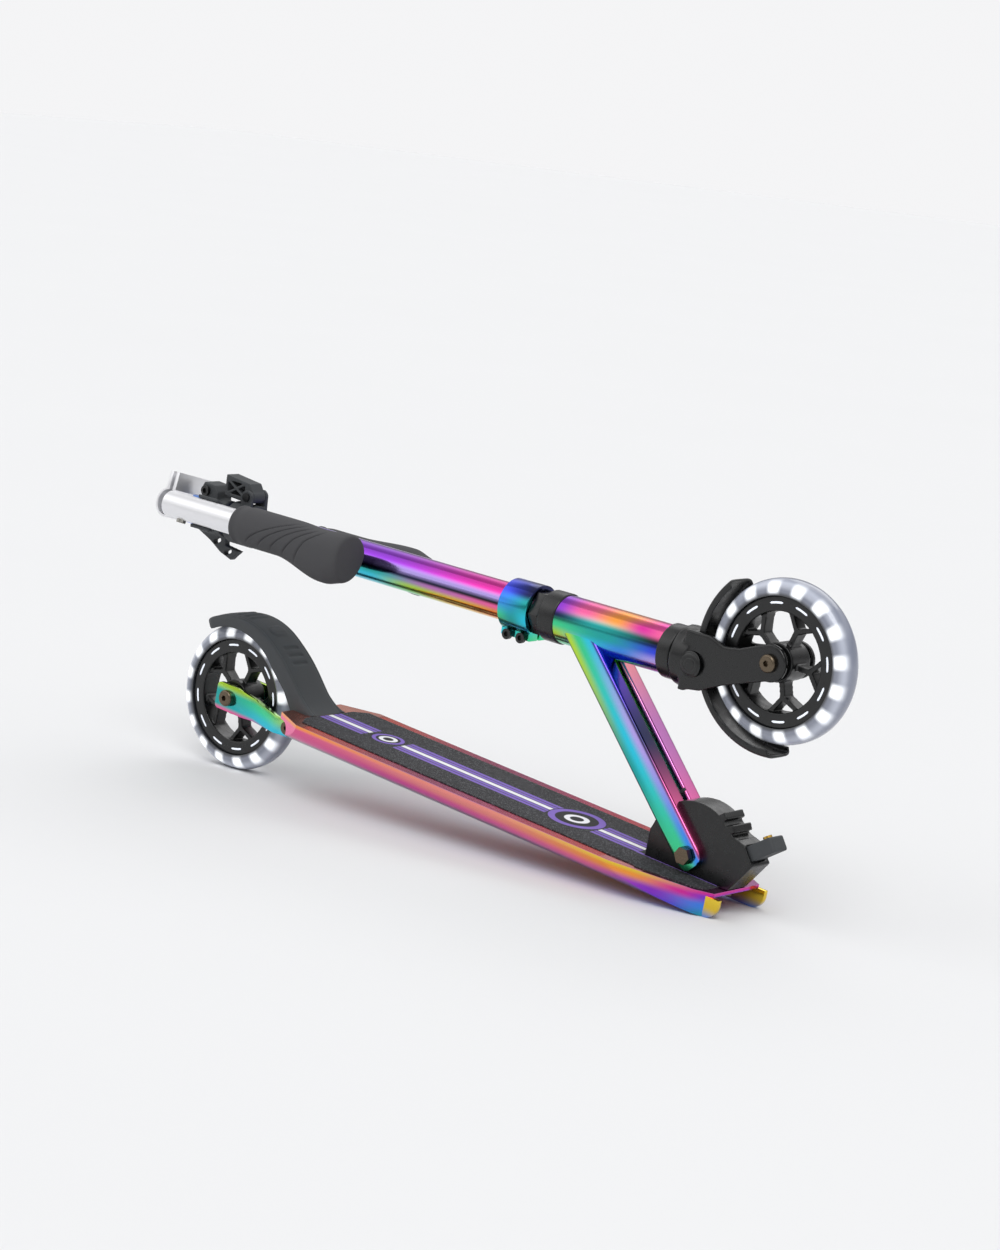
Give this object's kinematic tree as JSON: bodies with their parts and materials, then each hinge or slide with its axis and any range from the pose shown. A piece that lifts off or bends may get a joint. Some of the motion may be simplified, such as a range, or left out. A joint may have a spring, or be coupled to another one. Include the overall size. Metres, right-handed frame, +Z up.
{
  "type": "folding kick scooter",
  "caption": "Folded kick scooter with a telescoping bar, swing-out handles, a fender brake, a push-button neck fold and light-up wheels.",
  "frame": {"origin": "on the floor, under the middle of the folded scooter's length and width", "axes": "+X towards the front wheel along the length, +Y to the rider's left, +Z up"},
  "size_m": [0.7027, 0.118, 0.2601],
  "materials": {
    "deck_oil_slick": "glossy oil-slick coating, magenta with orange and cyan edges",
    "neck_oil_slick": "glossy oil-slick coating, green to cyan to violet",
    "bar_oil_slick": "glossy oil-slick coating, blue to violet to red",
    "collar_oil_slick": "glossy oil-slick coating, turquoise",
    "grip_tape": "gritty black anti-slip tape with a printed stripe",
    "black_plastic": "moulded charcoal plastic",
    "black_alloy": "cast alloy, satin black",
    "fork_steel": "satin black paint",
    "wheel_core": "moulded black plastic",
    "clear_tyre": "clear cast polyurethane lit from inside",
    "lights": "white light-emitting diodes on a strip",
    "coil_wire": "enamelled copper winding",
    "bearing_steel": "ground steel",
    "bolt_steel": "zinc-plated steel",
    "spring_steel": "spring steel",
    "polished_tube": "polished aluminium tube",
    "grip_rubber": "soft moulded grip rubber"
  },
  "bodies": {
    "deck": {"deck_top": "deck_oil_slick", "left_deck_rail": "deck_oil_slick", "right_deck_rail": "deck_oil_slick", "grip_tape": "grip_tape", "folding_block": "black_alloy", "block_screws": "bolt_steel", "pivot_bolt": "bolt_steel", "pivot_nut": "bolt_steel", "rear_axle_bolt": "bolt_steel", "rear_axle_nut": "bolt_steel", "rear_axle_spacers": "bearing_steel", "brake_hinge_bolt": "bolt_steel", "brake_spring": "spring_steel", "release_spring": "spring_steel"},
    "rear_wheel": {"rear_wheel_core": "wheel_core", "rear_tyre": "clear_tyre", "rear_bearings": "bearing_steel", "rear_led_ring": "lights", "rear_generator_coil": "coil_wire"},
    "brake": {"brake_fender": "black_plastic", "brake_plate": "spring_steel"},
    "release": {"release_button": "black_plastic", "button_screw": "bolt_steel"},
    "neck": {"left_neck_leg": "neck_oil_slick", "right_neck_leg": "neck_oil_slick", "leg_end_plugs": "black_plastic", "head_tube": "neck_oil_slick", "lower_headset_cup": "black_alloy", "upper_headset_cup": "black_alloy"},
    "steering": {"fork": "fork_steel", "steerer_tube": "bearing_steel", "headset_bearings": "bearing_steel", "headset_locknut": "black_alloy", "front_fender": "black_plastic", "fender_screws": "bolt_steel", "front_axle_bolt": "bolt_steel", "front_axle_nut": "bolt_steel", "front_axle_spacers": "bearing_steel", "outer_bar_tube": "bar_oil_slick", "clamp_collar": "collar_oil_slick", "clamp_bolts": "bolt_steel", "bar_clamp": "black_plastic", "lever_pin": "bolt_steel"},
    "front_wheel": {"front_wheel_core": "wheel_core", "front_tyre": "clear_tyre", "front_bearings": "bearing_steel", "front_led_ring": "lights", "front_generator_coil": "coil_wire"},
    "upper_bar": {"inner_bar_tube": "bar_oil_slick", "cross_tube": "polished_tube", "handle_holder": "black_plastic", "holder_screw": "bolt_steel"},
    "height_pin": {"height_pin": "bolt_steel"},
    "lever": {"quick_release_lever": "black_plastic"},
    "right_handle": {"right_handle_tube": "polished_tube", "right_grip": "grip_rubber"},
    "left_handle": {"left_handle_tube": "polished_tube", "left_grip": "grip_rubber"},
    "right_button": {"right_handle_button": "bolt_steel"},
    "left_button": {"left_handle_button": "bolt_steel"}
  },
  "joints": [
    {"name": "rear_wheel_spin", "type": "hinge", "parent": "deck", "child": "rear_wheel", "pos_m": [-0.2558, 0, 0.0625], "axis": [0, 1, 0], "continuous": true},
    {"name": "brake_press", "type": "hinge", "parent": "deck", "child": "brake", "pos_m": [-0.17183, 0, 0.05489], "axis": [0, -1, 0], "range_deg": [0, 2.55], "stiffness_Nm_per_rad": 5, "springref_deg": -5.73},
    {"name": "release_press", "type": "slide", "parent": "deck", "child": "release", "axis": [-0.8511, 0, -0.525], "range_m": [0, 0.005], "stiffness_N_per_m": 400, "springref_m": -0.004},
    {"name": "neck_fold", "type": "hinge", "parent": "deck", "child": "neck", "pos_m": [0.23203, 0, 0.03857], "axis": [0, 1, 0], "range_deg": [0, 87]},
    {"name": "steering_turn", "type": "hinge", "parent": "neck", "child": "steering", "pos_m": [0.2879, 0, 0.18147], "axis": [-0.9989, 0, 0.0476], "range_deg": [-60, 60]},
    {"name": "front_wheel_spin", "type": "hinge", "parent": "steering", "child": "front_wheel", "pos_m": [0.28867, 0, 0.19765], "axis": [0, 1, 0], "continuous": true},
    {"name": "bar_height", "type": "slide", "parent": "steering", "child": "upper_bar", "axis": [-0.9989, 0, 0.0476], "range_m": [0, 0.23]},
    {"name": "height_pin_press", "type": "slide", "parent": "upper_bar", "child": "height_pin", "axis": [0.0476, 0, 0.9989], "range_m": [0, 0.002], "stiffness_N_per_m": 300, "springref_m": -0.003},
    {"name": "lever_swing", "type": "hinge", "parent": "steering", "child": "lever", "pos_m": [-0.26228, 0, 0.23273], "axis": [0, 1, 0], "range_deg": [0, 110]},
    {"name": "right_handle_swing", "type": "hinge", "parent": "upper_bar", "child": "right_handle", "pos_m": [-0.32612, -0.02636, 0.2166], "axis": [-0.0465, -0.2164, -0.9752], "range_deg": [0, 90]},
    {"name": "left_handle_swing", "type": "hinge", "parent": "upper_bar", "child": "left_handle", "pos_m": [-0.3176, 0.01757, 0.20644], "axis": [0.0465, 0.2164, 0.9752], "range_deg": [0, 90]},
    {"name": "right_button_press", "type": "slide", "parent": "right_handle", "child": "right_button", "axis": [0.0465, 0.2164, 0.9752], "range_m": [0, 0.0028], "stiffness_N_per_m": 300, "springref_m": -0.003},
    {"name": "left_button_press", "type": "slide", "parent": "left_handle", "child": "left_button", "axis": [0.0465, 0.2164, 0.9752], "range_m": [0, 0.0028], "stiffness_N_per_m": 300, "springref_m": -0.003}
  ]
}
